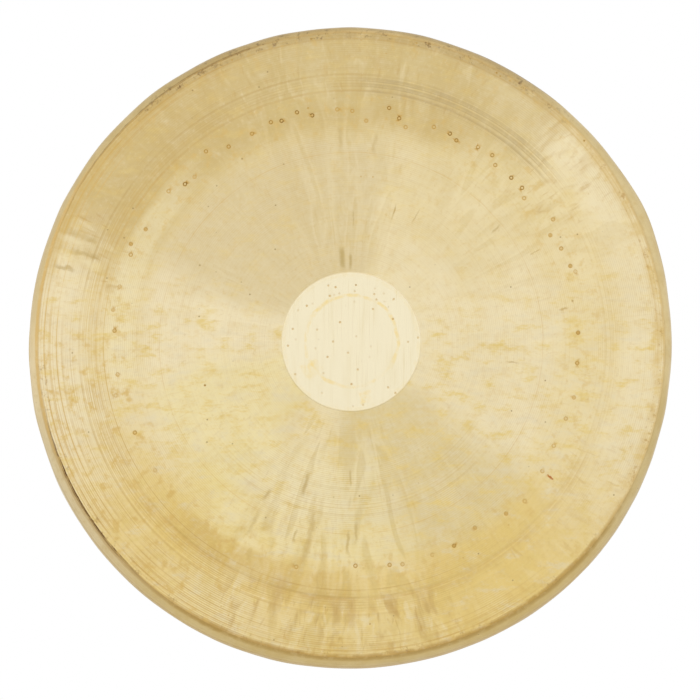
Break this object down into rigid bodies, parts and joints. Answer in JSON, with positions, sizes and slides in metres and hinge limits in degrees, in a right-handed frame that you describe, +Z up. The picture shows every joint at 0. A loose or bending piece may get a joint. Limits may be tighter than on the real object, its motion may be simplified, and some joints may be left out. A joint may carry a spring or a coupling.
{
  "type": "gong",
  "caption": "Round hanging gong of one hammered, lathe-turned bronze sheet, with a polished centre, a shallow turned-back rim and cord holes near the top.",
  "frame": {"origin": "midway between the two cord holes, in the space behind the face, where a pair of cords holds the gong up", "axes": "+Z up as the gong hangs, -Y out of its struck face, +X to the right as the face is seen from the front"},
  "size_m": [0.812, 0.0342, 0.812],
  "materials": {
    "bronze": "hammered, lathe-turned in fine rings, with a polished centre"
  },
  "bodies": {
    "root": {"gong_plate": "bronze"}
  },
  "joints": []
}
